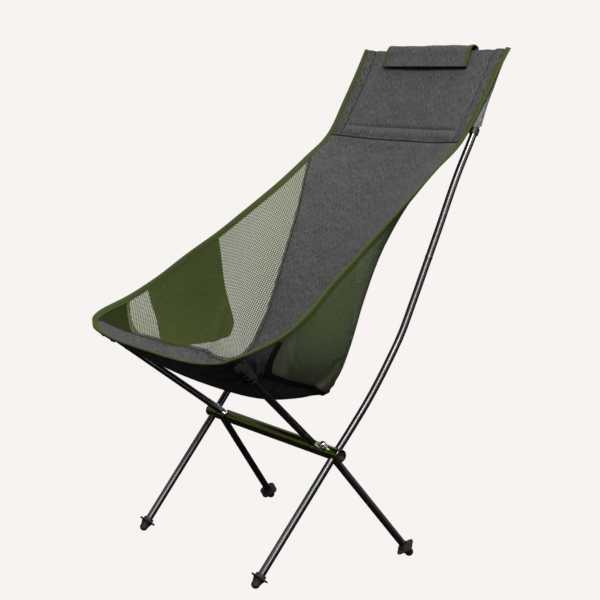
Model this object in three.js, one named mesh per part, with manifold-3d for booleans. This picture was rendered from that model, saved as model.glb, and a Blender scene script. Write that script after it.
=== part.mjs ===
// High-back camping chair: a take-apart pole frame on a short cross tube, and a hung fabric seat.
// Millimetres, +Z up, front of the chair towards -Y, origin on the ground under the middle of its box.
import * as THREE from "three";
import { mergeVertices } from "three/addons/utils/BufferGeometryUtils.js";
import Module from "manifold-3d";

const wasm = await Module();
wasm.setup();

// ---- Driving dimensions ----
const gap = 0.3; // between pieces that touch
const poleR = 7.25; // outer radius of every pole
const boreR = 6.0; // inside radius of every pole
const spigotR = 5.6; // hub spigots and pole joiners that the poles slide over
const cordR = 1.1; // elastic cord inside the poles

const hub = { y: -71.5, z: 229, halfLength: 230, r: 12.7, wall: 2 }; // the cross tube's axis
const core = { xIn: 146, xOut: 224, r: 10.3 }; // insert in each end of the cross tube
const plugDepth = 3.5; // how far the end plugs sit back from the tube's cut ends
const spigotReach = 46; // from the cross tube's axis to the end of a spigot
const collarStub = 22; // from the cross tube's axis to the end of the short spigot under a collar

const foot = { ballR: 8.5, ballZ: 7.7, flangeUp: 15, flangeR: 21, flangeThick: 2.2, collarR: 10.4 };

// Where each pole leaves the cross tube (x), and where it ends, for the right side of the chair.
const frontLeg = { x: 211, end: new THREE.Vector3(207.3, hub.y - 183.2, foot.ballZ) };
const rearLeg = { x: 191, end: new THREE.Vector3(239.6, hub.y + 165.1, foot.ballZ) };
const seatPole = { x: 154, end: new THREE.Vector3(260, hub.y - 249, 435) };
const backPolePoints = [
  [211, 0, 229],
  [213, 34, 270],
  [215, 80, 328],
  [216, 125, 393],
  [215, 159, 446],
  [213, 189, 504],
  [212, 214, 556],
  [211, 253, 639],
  [211, 302, 748],
  [213, 345, 835],
  [206, 380.5, 905],
  [199, 423, 975],
];
const backPoleJoin = 0.5; // fraction of the back pole's length at which its two sections meet
const joinerHalf = 42; // half the length of the joiner inside
const joinerBore = 3.6; // inside radius of the joiner, for the cord

// The hung fabric: stations from the front edge, under the seat, to the top edge. Each has the right
// edge's x, y, z, the middle's y, z, how round the cross-section's ends are, how flat its floor is, and
// the seam between the middle and side panels as a fraction of the way out to the edge.
// Heights are from the ground and y is from the cross tube.
const stations = [
  { edge: [246, -279, 448], mid: [-286, 430], round: 0.05, flat: 3.6, seam: 1.12 },
  { edge: [272, -240, 465], mid: [-146, 352], round: 0.18, flat: 2.9, seam: 0.87 },
  { edge: [276, -170, 489], mid: [-67, 322], round: 0.4, flat: 2.5, seam: 0.69 },
  { edge: [267, -105, 524], mid: [-10, 317], round: 0.62, flat: 2.7, seam: 0.58 },
  { edge: [253, -40, 569], mid: [26, 318], round: 0.75, flat: 3.1, seam: 0.5 },
  { edge: [239, 28, 612], mid: [50, 338], round: 0.75, flat: 3.2, seam: 0.475 },
  { edge: [232, 78, 646], mid: [76, 399], round: 0.62, flat: 2.7, seam: 0.445 },
  { edge: [226, 128, 680], mid: [121, 490], round: 0.46, flat: 2.1, seam: 0.505 },
  { edge: [220, 182, 718], mid: [185, 599], round: 0.33, flat: 1.9, seam: 0.66 },
  { edge: [216, 244, 765], mid: [262, 707], round: 0.23, flat: 1.85, seam: 0.925 },
  { edge: [217, 307, 814], mid: [332, 808], round: 0.14, flat: 1.85, seam: 1.12 },
  { edge: [222, 357, 889], mid: [366, 886], round: 0.07, flat: 1.9, seam: 1.12 },
  { edge: [224, 392, 948], mid: [398, 944], round: 0.03, flat: 2, seam: 1.12 },
  { edge: [229, 422, 998], mid: [418, 991], round: 0, flat: 2, seam: 1.12 },
];
const neck = 10; // station of the seam under the headrest
const topEdge = 13; // station of the top edge
const hipSeam = 4.6; // station of the cross seam between seat and back
const panelTip = 9.33; // station where the side panel runs out under the edge tape
const cornerLine = { seam: 1.2, edge: 1.85 }; // stations of the line between corner patch and side panel
// Where the outer corner patch starts on the front lip: fraction, and station there and at the edge.
const cornerOutside = { across: 0.48, front: 0.27, edge: 0.46 };
const sidePatch = { low: [0.73, 1.85], lowRear: [0.67, 4.8], top: 2.62, topRear: 5 }; // [fraction, station]
const hem = 0.82; // fraction of the half width where the headrest's side hems start
const cloth = 1.2; // thickness of the main panels
const headCloth = 3; // thickness of the padded headrest
const patchCloth = 0.8; // thickness of patches and linings
const patchSlack = 0.6; // how far the outer corner patch hangs off the seat panel
const slack = 2.2; // how far a patch stands off the panel it is sewn to
const seamGap = 0.8; // from each seam to the panels on either side
const tapeR = 2.6; // edge tape, rolled round the fabric's edge
const webbing = { width: 11, thick: 1.2 };
const pocket = { inside: 8.6, outside: 10, length: 52 }; // seat pole pocket under each front corner
const mouth = { inside: 7.8, outside: 9.4, length: 13 }; // stiff mouth of each back pole sleeve
const sleeveStations = [10.42, 12.5]; // where each back pole sleeve starts and ends
const sleeveR = [9, 10.8]; // half width and half depth of a level section where cloth wraps the back pole

// Band folded over the top edge: its section from the free front edge, over the top, to the sewn edge.
const flap = { half: 128, thick: 1.6, bindingWidth: 5, bindingThick: 2.4 };
const flapSection = [
  [393, 962],
  [402, 984],
  [407, 998],
  [413, 1004],
  [421, 1004],
  [427, 998],
  [425, 989],
  [417.5, 983],
];

// ---- Materials ----
const finish = (name, color, roughness, metalness) =>
  Object.assign(new THREE.MeshStandardMaterial({ color, roughness, metalness }), { name });
const materials = {
  tube: finish("olive_anodised", 0x353c22, 0.3, 0.8),
  pole: finish("black_pole", 0x1b1c1d, 0.28, 0.7),
  silver: finish("bare_aluminium", 0xc4c6c8, 0.3, 1),
  rubber: finish("rubber", 0x101112, 0.65, 0),
  plastic: finish("black_plastic", 0x141414, 0.5, 0),
  grey: finish("grey_cloth", 0x4b4d4e, 0.9, 0),
  mesh: finish("olive_mesh", 0x5c6a48, 0.9, 0),
  olive: finish("olive_cloth", 0x333d1e, 0.9, 0),
  binding: finish("green_binding", 0x5a6b3a, 0.8, 0),
  webbing: finish("black_webbing", 0x0d0d0e, 0.9, 0),
  cord: finish("elastic_cord", 0x2a2a2c, 0.9, 0),
};

const chair = new THREE.Group();

// ---- Solids ----
const V = (x, y, z) => new THREE.Vector3(x, y, z);
const mix = THREE.MathUtils.lerp;

function toSolid(geometry) {
  const g = geometry.clone();
  g.deleteAttribute("normal");
  g.deleteAttribute("uv");
  const merged = mergeVertices(g, 1e-4);
  const vertProperties = merged.attributes.position.array;
  const triVerts = new Uint32Array(merged.index.array);
  return new wasm.Manifold(new wasm.Mesh({ numProp: 3, vertProperties, triVerts }));
}

function toGeometry(solid) {
  const mesh = solid.getMesh();
  const g = new THREE.BufferGeometry();
  g.setAttribute("position", new THREE.BufferAttribute(mesh.vertProperties, 3));
  g.setIndex(new THREE.BufferAttribute(mesh.triVerts, 1));
  return g;
}

const joined = (...parts) => parts.map(toSolid).reduce((a, b) => a.add(b));
const cut = (solid, ...tools) => tools.map(toSolid).reduce((a, b) => a.subtract(b), solid);

function addPiece(name, geometry, material) {
  const flat = geometry.index ? geometry.toNonIndexed() : geometry;
  flat.computeVertexNormals();
  const mesh = new THREE.Mesh(flat, material);
  mesh.name = name;
  chair.add(mesh);
}

// A piece and its mirror image about the chair's middle plane.
function addPair(name, geometry, material) {
  addPiece(`${name}_right`, geometry, material);
  addPiece(`${name}_left`, mirrored(geometry), material);
}

function mirrored(geometry) {
  const g = geometry.index ? geometry.toNonIndexed() : geometry.clone();
  g.scale(-1, 1, 1);
  const p = g.attributes.position;
  for (let i = 0; i < p.count; i += 3) {
    const a = V().fromBufferAttribute(p, i + 1);
    const b = V().fromBufferAttribute(p, i + 2);
    p.setXYZ(i + 1, b.x, b.y, b.z);
    p.setXYZ(i + 2, a.x, a.y, a.z);
  }
  return g;
}

// A lathe turned about +Z, then stood on the line from one point towards another.
function latheOn(profile, from, towards, segments = 16) {
  const outline = profile.map(([r, along]) => new THREE.Vector2(r, along));
  const g = new THREE.LatheGeometry(outline, segments);
  g.rotateX(Math.PI / 2);
  const turn = new THREE.Quaternion().setFromUnitVectors(V(0, 0, 1), towards.clone().sub(from).normalize());
  g.applyQuaternion(turn);
  g.translate(from.x, from.y, from.z);
  return g;
}

const rod = (r, a, b) => [[0, a], [r, a], [r, b], [0, b]];
const sleeve = (rIn, rOut, a, b) => [[rIn, a], [rOut, a], [rOut, b], [rIn, b], [rIn, a]];

// A round tube or rod along a stretch of a curve.
function tubeAlong(curve, from, to, steps, rOut, rIn = 0, sides = 12) {
  const points = [];
  for (let i = 0; i <= steps; i++) points.push(curve.getPointAt(mix(from, to, i / steps)));
  const shape = circle(rOut, sides);
  if (rIn > 0) shape.holes.push(circle(rIn, sides));
  const path = new THREE.CatmullRomCurve3(points);
  return new THREE.ExtrudeGeometry(shape, { steps, extrudePath: path, curveSegments: 1 });
}

function circle(r, sides) {
  const corners = [];
  for (let i = 0; i < sides; i++) {
    const a = (2 * Math.PI * i) / sides;
    corners.push(new THREE.Vector2(r * Math.cos(a), r * Math.sin(a)));
  }
  return new THREE.Shape(corners);
}

// ---- Frame ----
const hubPoint = (x) => V(x, hub.y, hub.z);

// How far from the cross tube's axis a square-cut pole's end clears the round core.
function seatOn(from, towards) {
  const lean = Math.asin(Math.abs(towards.clone().sub(from).normalize().x));
  return core.r / Math.cos(lean) + poleR * Math.tan(lean) + gap;
}

function alongLine(from, towards, d) {
  return from.clone().addScaledVector(towards.clone().sub(from).normalize(), d);
}

const backPole = new THREE.CatmullRomCurve3(backPolePoints.map(([x, y, z]) => V(x, hub.y + y, z)));
const backPoleStart = backPole.getPointAt(0.04);

const outlets = [
  { from: hubPoint(frontLeg.x), towards: frontLeg.end },
  { from: hubPoint(rearLeg.x), towards: rearLeg.end },
  { from: hubPoint(backPolePoints[0][0]), towards: backPoleStart },
  { from: hubPoint(seatPole.x), towards: seatPole.end },
];
// The rear leg's line, carried on upwards to the collar above the cross tube.
const collarLine = {
  from: hubPoint(rearLeg.x),
  towards: hubPoint(rearLeg.x).multiplyScalar(2).sub(rearLeg.end),
};

function crossTube() {
  const section = sleeve(hub.r - hub.wall, hub.r, 0, 2 * hub.halfLength);
  const tube = latheOn(section, hubPoint(-hub.halfLength), hubPoint(0), 28);
  const drill = ({ from, towards }) => latheOn(rod(poleR + 2 * gap, 0, 30), from, towards, 14);
  const holes = [...outlets, collarLine].map(drill);
  return toGeometry(cut(toSolid(tube), ...holes, ...holes.map(mirrored)));
}

// The insert that fills each end of the cross tube and carries the spigots that the poles plug onto.
function hubCore() {
  const barrel = latheOn(rod(core.r, 0, core.xOut - core.xIn), hubPoint(core.xIn), hubPoint(core.xOut), 20);
  const spigot = rod(spigotR, 0, spigotReach);
  const spigots = outlets.map(({ from, towards }) => latheOn(spigot, from, towards, 10));
  const stub = rod(spigotR, 0, collarStub);
  const collarSpigot = latheOn(stub, collarLine.from, collarLine.towards, 10);
  return toGeometry(joined(barrel, ...spigots, collarSpigot));
}

function straightPole(from, towards, end) {
  return latheOn(sleeve(boreR, poleR, seatOn(from, towards), end), from, towards, 14);
}

function addFrame() {
  addPiece("cross_tube", crossTube(), materials.tube);
  addPair("hub_core", hubCore(), materials.plastic);
  const plug = latheOn(
    rod(hub.r - hub.wall - gap, core.xOut + gap, hub.halfLength - plugDepth),
    hubPoint(0),
    hubPoint(1),
    24,
  );
  addPair("end_plug", plug, materials.plastic);
  const start = seatOn(collarLine.from, collarLine.towards);
  const collar = [[0, collarStub + gap], [spigotR + gap, collarStub + gap], [spigotR + gap, start],
    [poleR, start], [poleR, collarStub + 2.5], [6.2, collarStub + 4], [0, collarStub + 4]];
  addPair("rear_leg_collar", latheOn(collar, collarLine.from, collarLine.towards, 16), materials.silver);
  addSeatPoles();
  addBackPoles();
  addLeg("front_leg", frontLeg);
  addLeg("rear_leg", rearLeg);
}

// The seat poles stand on silver ferrules and end in the pockets under the front corners.
function addSeatPoles() {
  const from = hubPoint(seatPole.x);
  const length = from.distanceTo(seatPole.end);
  const ring = latheOn(sleeve(spigotR + gap, 8.6, hub.r - 1, hub.r + 9.5), from, seatPole.end, 20);
  const clearance = latheOn(rod(hub.r + gap, 0, 200), hubPoint(seatPole.x - 100), hubPoint(seatPole.x), 32);
  addPair("seat_pole_ferrule", toGeometry(cut(toSolid(ring), clearance)), materials.silver);
  const pole = sleeve(boreR, poleR, hub.r + 9.5 + gap, length - 6);
  addPair("seat_pole", latheOn(pole, from, seatPole.end, 14), materials.pole);
  const tip = [[0, length - 22], [boreR - gap, length - 22], [boreR - gap, length - 6 + gap],
    [8.1, length - 6 + gap], [8.1, length + 2], [5.5, length + 6], [0, length + 7]];
  addPair("seat_pole_tip", latheOn(tip, from, seatPole.end, 16), materials.plastic);
  const cord = rod(cordR, spigotReach + gap, length - 22 - gap);
  addPair("seat_pole_cord", latheOn(cord, from, seatPole.end, 8), materials.cord);
}

// Each back pole is two sections over a joiner, with an elastic cord through them.
function addBackPoles() {
  const total = backPole.getLength();
  const start = seatOn(backPole.getPointAt(0), backPoleStart);
  const at = (d) => d / total;
  const join = backPoleJoin * total;
  const lower = tubeAlong(backPole, at(start), at(join - gap / 2), 14, poleR, boreR);
  const upper = tubeAlong(backPole, at(join + gap / 2), at(total - 6), 10, poleR, boreR);
  addPair("back_pole_lower", lower, materials.pole);
  addPair("back_pole_upper", upper, materials.pole);
  const [low, high] = [join - joinerHalf, join + joinerHalf].map(at);
  const joiner = tubeAlong(backPole, low, high, 4, spigotR - 0.1, joinerBore, 8);
  addPair("back_pole_joiner", joiner, materials.silver);
  const cord = tubeAlong(backPole, at(spigotReach + 2), at(total - 24), 22, cordR, 0, 4);
  addPair("back_pole_cord", cord, materials.cord);
  const end = backPole.getPointAt(1);
  const before = backPole.getPointAt(0.97);
  const tip = [[0, -20], [boreR - gap, -20], [boreR - gap, -6 + gap], [poleR, -6 + gap],
    [poleR, 1], [5, 5], [0, 6]];
  const outward = end.clone().multiplyScalar(2).sub(before);
  addPair("back_pole_tip", latheOn(tip, end, outward, 16), materials.plastic);
}

// A leg slides down off its spigot, with its foot.
function addLeg(name, leg) {
  const from = hubPoint(leg.x);
  const length = from.distanceTo(leg.end);
  const flange = length - foot.flangeUp;
  addPair(name, straightPole(from, leg.end, flange + 1), materials.pole);
  addPair(`${name}_foot`, footSolid(from, leg.end, length), materials.rubber);
}

// Rubber foot: a socket for the leg, a thin flange with four round lobes, and a ball, cut flat below.
function footSolid(from, towards, length) {
  const flange = length - foot.flangeUp;
  const top = flange - 6.5;
  const profile = [[0, flange + 1.4], [poleR + gap, flange + 1.4], [poleR + gap, top],
    [foot.collarR - 0.8, top], [foot.collarR, top + 1], [foot.collarR + 0.6, flange],
    [14, flange + foot.flangeThick], [9.5, length - 4]];
  for (let i = 0; i <= 4; i++) {
    const a = mix(0.1, Math.PI / 2, i / 4);
    profile.push([i < 4 ? foot.ballR * Math.cos(a) : 0, length + foot.ballR * Math.sin(a)]);
  }
  const body = latheOn(profile, from, towards, 14);
  const clover = new THREE.Shape();
  const lobes = 4;
  const rim = 24;
  for (let i = 0; i < rim; i++) {
    const a = (2 * Math.PI * i) / rim;
    const r = foot.flangeR * (0.94 + 0.06 * Math.cos(lobes * a));
    if (i === 0) clover.moveTo(r, 0);
    else clover.lineTo(r * Math.cos(a), r * Math.sin(a));
  }
  const hole = new THREE.Path(circle(poleR + gap + 0.4, 14).getPoints());
  clover.holes.push(hole);
  const extrusion = { depth: foot.flangeThick, bevelEnabled: false, curveSegments: 1 };
  const disc = new THREE.ExtrudeGeometry(clover, extrusion);
  const turn = new THREE.Quaternion().setFromUnitVectors(V(0, 0, 1), towards.clone().sub(from).normalize());
  disc.applyQuaternion(turn);
  const place = alongLine(from, towards, flange);
  disc.translate(place.x, place.y, place.z);
  const ground = new THREE.BoxGeometry(200, 200, 50).translate(towards.x, towards.y, -25);
  return toGeometry(cut(joined(body, disc), ground));
}

// ---- Fabric ----
const uniform = (points) => new THREE.CatmullRomCurve3(points, false, "catmullrom", 0.5);
const edgeCurve = uniform(stations.map(({ edge: [x, y, z] }) => V(x, hub.y + y, z)));
const midCurve = uniform(stations.map(({ mid: [y, z] }) => V(0, hub.y + y, z)));
const formCurve = uniform(stations.map(({ round, flat, seam }) => V(round, flat, seam)));
const share = (t) => t / topEdge;

// A point of the fabric: across from -1 (left edge) to 1 (right edge), along by station.
function fabric(across, t) {
  const edge = edgeCurve.getPoint(share(t));
  const mid = midCurve.getPoint(share(t));
  const form = formCurve.getPoint(share(t));
  const a = Math.abs(across);
  const out = (1 - form.x) * a + form.x * Math.sin((a * Math.PI) / 2);
  const rise = a ** form.y;
  return V(Math.sign(across) * edge.x * out, mix(mid.y, edge.y, rise), mix(mid.z, edge.z, rise));
}

// The fabric's inward normal, on the sitter's side.
function inward(across, t) {
  const step = 0.004;
  const a = THREE.MathUtils.clamp(across, -1 + step, 1 - step);
  const b = THREE.MathUtils.clamp(t, step, topEdge - step);
  const over = fabric(a + step, b).sub(fabric(a - step, b));
  const on = fabric(a, b + step).sub(fabric(a, b - step));
  return over.cross(on).normalize();
}

// A distance in mm, as a fraction of the half width, just inside a given fraction.
const acrossFor = (mm, at, t) => (mm * 0.01) / fabric(at, t).distanceTo(fabric(at - 0.01, t));
const edgeAt = (t) => 1 - acrossFor(tapeR + gap + 0.2, 1, t);
const seamAt = (t) => Math.min(formCurve.getPoint(share(t)).z, 1);
const insideSeam = (t) => Math.min(seamAt(t) - acrossFor(seamGap, seamAt(t), t), edgeAt(t));
const outsideSeam = (t) => seamAt(t) + acrossFor(seamGap, seamAt(t), t);

// A closed sheet over the fabric. place(a, b) gives [across, t] for a and b from 0 to 1.
function sheet(place, lift, thick, nAcross, nAlong) {
  const g = new THREE.BoxGeometry(1, 1, 1, nAcross, nAlong, 1);
  const p = g.attributes.position;
  for (let i = 0; i < p.count; i++) {
    const [across, t] = place(p.getX(i) + 0.5, p.getY(i) + 0.5);
    const at = fabric(across, t).addScaledVector(inward(across, t), lift + p.getZ(i) * thick);
    p.setXYZ(i, at.x, at.y, at.z);
  }
  return g;
}

// A closed strip whose width runs along path(b, k) for k from 0 to 1, for b from 0 to 1 along it.
function strip(path, thick, nWidth, nLength) {
  const g = new THREE.BoxGeometry(1, 1, 1, nWidth, nLength, 1);
  const p = g.attributes.position;
  for (let i = 0; i < p.count; i++) {
    const k = p.getX(i) + 0.5;
    const b = p.getY(i) + 0.5;
    const over = path(b, Math.min(k + 0.01, 1)).sub(path(b, Math.max(k - 0.01, 0)));
    const on = path(Math.min(b + 0.01, 1), k).sub(path(Math.max(b - 0.01, 0), k));
    const at = path(b, k).addScaledVector(over.cross(on).normalize(), p.getZ(i) * thick);
    p.setXYZ(i, at.x, at.y, at.z);
  }
  return g;
}

// How far a second layer's middle stands off the panel that it lies on.
const onTop = (thick) => cloth / 2 + gap + thick / 2;

function addPanels() {
  const seatWidth = (t) => Math.min(insideSeam(t), mix(0.965, 0.94, t));
  const seatStart = (a) => mix(0.035, 0.15, Math.abs(2 * a - 1) ** 4);
  const seat = (a, b) => {
    const t = mix(seatStart(a), hipSeam - 0.004, b);
    return [(2 * a - 1) * seatWidth(t), t];
  };
  addPiece("seat_panel", sheet(seat, 0, cloth, 12, 10), materials.grey);
  const back = (a, b) => {
    const t = mix(hipSeam + 0.004, neck - 0.006, b);
    return [(2 * a - 1) * insideSeam(t), t];
  };
  addPiece("back_panel", sheet(back, 0, cloth, 10, 12), materials.grey);
  const head = (a, b) => [(2 * a - 1) * (hem - 0.002), mix(neck + 0.006, topEdge, b)];
  addPiece("headrest_panel", sheet(head, 0, headCloth, 8, 5), materials.grey);
  const side = (a, b) => {
    const t = mix(mix(cornerLine.seam + 0.03, cornerLine.edge + 0.03, a), panelTip, b);
    return [mix(outsideSeam(t), edgeAt(t), a), t];
  };
  addPair("side_mesh", sheet(side, 0, cloth, 6, 16), materials.mesh);
  const patchLift = onTop(patchCloth) + slack;
  addPair("side_patch", sheet(sidePatchPlace, patchLift, patchCloth, 4, 6), materials.olive);
  const underPanel = -onTop(patchCloth) - patchSlack;
  addPair("corner_patch", sheet(cornerOutsidePlace, underPanel, patchCloth, 10, 10), materials.grey);
  addPair("corner_lining", sheet(cornerPlace, patchCloth, patchCloth, 4, 4), materials.olive);
  const hemPlace = (a, b) => {
    const t = mix(neck + 0.12, topEdge, b);
    return [mix(hem + 0.002, edgeAt(t), a), t];
  };
  addPair("headrest_hem", sheet(hemPlace, 0, cloth, 2, 6), materials.grey);
}

// The solid patch sewn inside the side mesh, from the edge tape down towards the seam.
function sidePatchPlace(a, b) {
  const top = mix(sidePatch.top, sidePatch.topRear, b);
  const lowAcross = mix(sidePatch.low[0], sidePatch.lowRear[0], b);
  const lowStation = mix(sidePatch.low[1], sidePatch.lowRear[1], b);
  return [mix(lowAcross, edgeAt(top), a), mix(lowStation, top, a)];
}

function cornerPlace(a, b) {
  const atSeam = mix(0.66, cornerLine.seam, b);
  const atEdge = mix(0.36, cornerLine.edge, b);
  return [mix(outsideSeam(atSeam), edgeAt(atEdge) - 0.012, a), mix(atSeam, atEdge, a)];
}

// The larger patch outside the corner: its piped inner edge runs from the front lip back to the pocket.
function cornerOutsidePlace(a, b) {
  const atInner = mix(cornerOutside.front, cornerLine.seam, b);
  const atEdge = mix(cornerOutside.edge, cornerLine.edge, b);
  const inner = mix(cornerOutside.across, seamAt(cornerLine.seam), Math.sin((b * Math.PI) / 2));
  return [mix(inner, edgeAt(atEdge) - 0.012, a), mix(atInner, atEdge, a)];
}

// Green tape rolled over the fabric's edge: from the top left corner, round the front, to the top right.
function addEdgeTape() {
  const points = [];
  for (let t = topEdge; t > 0.4; t -= 0.5) points.push(fabric(-1, t));
  for (let a = -0.96; a < 0.97; a += 0.24) points.push(fabric(a, 0));
  for (let t = 0.5; t <= topEdge; t += 0.5) points.push(fabric(1, t));
  const path = new THREE.CatmullRomCurve3(points);
  addPiece("edge_tape", tubeAlong(path, 0, 1, 80, tapeR, 0, 5), materials.binding);
}

// Black webbing over the outside of the seams: one strip along the seat's seam, one up to the edge.
function addWebbing() {
  const lift = -(cloth / 2 + slack + webbing.thick / 2);
  const alongSeam = (a, b) => {
    const t = mix(cornerLine.seam + 0.25, hipSeam + 0.3, b);
    const half = acrossFor(webbing.width / 2, seamAt(t), t);
    return [seamAt(t) + (2 * a - 1) * half, t];
  };
  addPair("seam_webbing", sheet(alongSeam, lift, webbing.thick, 2, 10), materials.webbing);
  const up = (a, b) => {
    const t = mix(cornerLine.seam, cornerLine.edge, b);
    return [mix(seamAt(t) + 0.03, edgeAt(t), b), t + (0.5 - a) * 0.19];
  };
  addPair("corner_webbing", sheet(up, lift, webbing.thick, 2, 10), materials.webbing);
}

// The pocket that each seat pole's tip stands in, open below.
function addPockets() {
  const from = hubPoint(seatPole.x);
  const end = from.distanceTo(seatPole.end) + 7.5;
  const profile = [[pocket.inside, end - pocket.length], [pocket.outside, end - pocket.length],
    [pocket.outside, end], [pocket.outside - 3, end + 2], [0, end + 2], [0, end + 0.6],
    [pocket.inside, end + 0.6], [pocket.inside, end - pocket.length]];
  addPair("pole_pocket", latheOn(profile, from, seatPole.end, 14), materials.grey);
}

// The sleeve that each back pole runs up: cloth from the headrest's hem, round the pole, to the edge.
function addSleeves() {
  const [from, to] = sleeveStations;
  const around = (b, k) => {
    const t = mix(from, to, b);
    const behind = (across) => fabric(across, t).addScaledVector(inward(across, t), -1.5);
    const inner = behind(hem + 0.03);
    const outer = behind(edgeAt(t) - 0.008);
    const centre = poleAtHeight(outer.z);
    const corners = [inner];
    for (let i = 0; i <= 6; i++) {
      const angle = mix(Math.PI, -Math.PI / 4, i / 6);
      const [dx, dy] = [sleeveR[0] * Math.cos(angle), sleeveR[1] * Math.sin(angle)];
      corners.push(V(centre.x + dx, centre.y + dy, outer.z));
    }
    corners.push(outer);
    return new THREE.CatmullRomCurve3(corners).getPointAt(k);
  };
  addPair("pole_sleeve", strip(around, 1, 10, 6), materials.grey);
  const start = poleAtHeight(fabric(1, from).z - 16);
  const next = poleAtHeight(fabric(1, from).z);
  const ring = sleeve(mouth.inside, mouth.outside, 0, mouth.length);
  addPair("sleeve_mouth", latheOn(ring, start, next, 16), materials.webbing);
}

function poleAtHeight(z) {
  let low = 0;
  let high = 1;
  for (let i = 0; i < 24; i++) {
    const half = (low + high) / 2;
    if (backPole.getPointAt(half).z < z) low = half;
    else high = half;
  }
  return backPole.getPointAt(low);
}

// The band over the top edge, with tape round both of its open ends.
function addFlap() {
  const section = new THREE.CatmullRomCurve3(flapSection.map(([y, z]) => V(0, hub.y + y, z)));
  const band = (xFrom, xTo) => (b, k) => section.getPointAt(k).setX(mix(xFrom, xTo, b));
  addPiece("head_flap", strip(band(-flap.half, flap.half), flap.thick, 8, 2), materials.grey);
  const end = band(flap.half + gap, flap.half + gap + flap.bindingWidth);
  addPair("flap_binding", strip(end, flap.bindingThick, 8, 1), materials.binding);
}

addFrame();
addPanels();
addEdgeTape();
addWebbing();
addPockets();
addSleeves();
addFlap();

export default chair;
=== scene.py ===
"""High-back take-apart camping chair: the looks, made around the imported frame."""

import math

import bmesh
import bpy
import numpy as np
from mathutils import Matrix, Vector


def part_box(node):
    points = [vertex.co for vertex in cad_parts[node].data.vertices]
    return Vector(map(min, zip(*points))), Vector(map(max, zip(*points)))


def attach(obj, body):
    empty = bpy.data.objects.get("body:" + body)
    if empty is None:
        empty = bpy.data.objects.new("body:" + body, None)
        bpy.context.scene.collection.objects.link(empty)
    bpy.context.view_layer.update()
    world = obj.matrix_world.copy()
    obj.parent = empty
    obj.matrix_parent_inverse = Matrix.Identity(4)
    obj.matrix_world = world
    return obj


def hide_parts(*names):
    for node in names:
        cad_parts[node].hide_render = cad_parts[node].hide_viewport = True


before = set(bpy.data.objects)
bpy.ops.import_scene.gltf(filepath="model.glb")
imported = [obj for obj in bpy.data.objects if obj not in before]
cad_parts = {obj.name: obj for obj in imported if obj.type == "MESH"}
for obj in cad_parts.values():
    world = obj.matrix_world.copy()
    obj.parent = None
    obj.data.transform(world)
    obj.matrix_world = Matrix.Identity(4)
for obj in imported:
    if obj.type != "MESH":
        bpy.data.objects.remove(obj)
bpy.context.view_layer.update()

MM = 0.001
SIDES = {"right": 1, "left": -1}

# ---- Places and sizes, in millimetres; y is from the cross tube's axis, z from the ground ----
tube_low, tube_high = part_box("cross_tube")
HUB = np.array([0, (tube_low.y + tube_high.y) / 2, (tube_low.z + tube_high.z) / 2]) / MM
HUB_HALF = tube_high.x / MM
HUB_R = (tube_high.z - tube_low.z) / 2 / MM
HUB_WALL = 2
POLE_R = 7.25
BORE_R = 6
SPIGOT_R = 5.6
SPIGOT_REACH = 46
COLLAR_REACH = 22
CORE_R = 10.3
GAP = 0.3
# The radius where an outline meets its axis.
NEAR_ZERO = 0.01

FRONT_LEG = (211, (207.3, -183.2, 7.7))
REAR_LEG = (191, (239.6, 165.1, 7.7))
SEAT_POLE = (154, (260, -249, 435))
BACK_POLE = [
    (211, 0, 229), (213, 34, 270), (215, 80, 328), (216, 125, 393), (215, 159, 446),
    (213, 189, 504), (212, 214, 556), (211, 253, 639), (211, 302, 748), (213, 345, 835),
    (206, 380.5, 905), (199, 423, 975),
]

# The hung fabric's stations, front edge to top edge: the right edge's x, y, z, the middle's y, z,
# how round the section's ends are, how flat its floor is, and the seam as a fraction of the half width.
STATIONS = np.array([
    (246, -279, 448, -286, 430, 0.05, 3.6, 1.12),
    (272, -240, 465, -146, 352, 0.18, 2.9, 0.87),
    (276, -170, 489, -67, 322, 0.4, 2.5, 0.69),
    (267, -105, 524, -10, 317, 0.62, 2.7, 0.58),
    (253, -40, 569, 26, 318, 0.75, 3.1, 0.5),
    (239, 28, 612, 50, 338, 0.75, 3.2, 0.475),
    (232, 78, 646, 76, 399, 0.62, 2.7, 0.445),
    (226, 128, 680, 121, 490, 0.46, 2.1, 0.505),
    (220, 182, 718, 185, 599, 0.33, 1.9, 0.66),
    (216, 244, 765, 262, 707, 0.23, 1.85, 0.925),
    (217, 307, 814, 332, 808, 0.14, 1.85, 1.12),
    (222, 357, 889, 366, 886, 0.07, 1.9, 1.12),
    (224, 392, 948, 398, 944, 0.03, 2, 1.12),
    (229, 422, 998, 418, 991, 0, 2, 1.12),
], float)
NECK = 10
TOP = 13
HIP = 4.6
TIP = 9.33
HEM = 0.82
CORNER_SEAM, CORNER_EDGE = 1.2, 1.85
# How far out the panels reach, as a fraction: those under the tape, and those that go deeper into it.
BY_EDGE, IN_TAPE = 0.985, 0.992
SEAM_LAP = 0.03
TAPE_DEPTH = 11
FLAP_HALF = 128
FLAP_SECTION = [
    (393, 962), (402, 984), (407, 998), (413, 1004), (421, 1004), (427, 998), (425, 989), (417.5, 983),
]


# ---- Curves ----
def with_ends(rows):
    """Rows with one more at each end, carried on straight."""
    rows = np.asarray(rows, float)
    return np.vstack([2 * rows[0] - rows[1], rows, 2 * rows[-1] - rows[-2]])


def spline(rows, u):
    """Uniform Catmull-Rom through rows, at places u counted in rows."""
    p = with_ends(rows)
    u = np.clip(np.asarray(u, float), 0, len(rows) - 1)
    i = np.minimum(u.astype(int), len(rows) - 2)
    w = (u - i)[..., None]
    a, b, c, d = p[i], p[i + 1], p[i + 2], p[i + 3]
    return 0.5 * (2 * b + (c - a) * w + (2 * a - 5 * b + 4 * c - d) * w**2 + (3 * b - a - 3 * c + d) * w**3)


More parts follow.
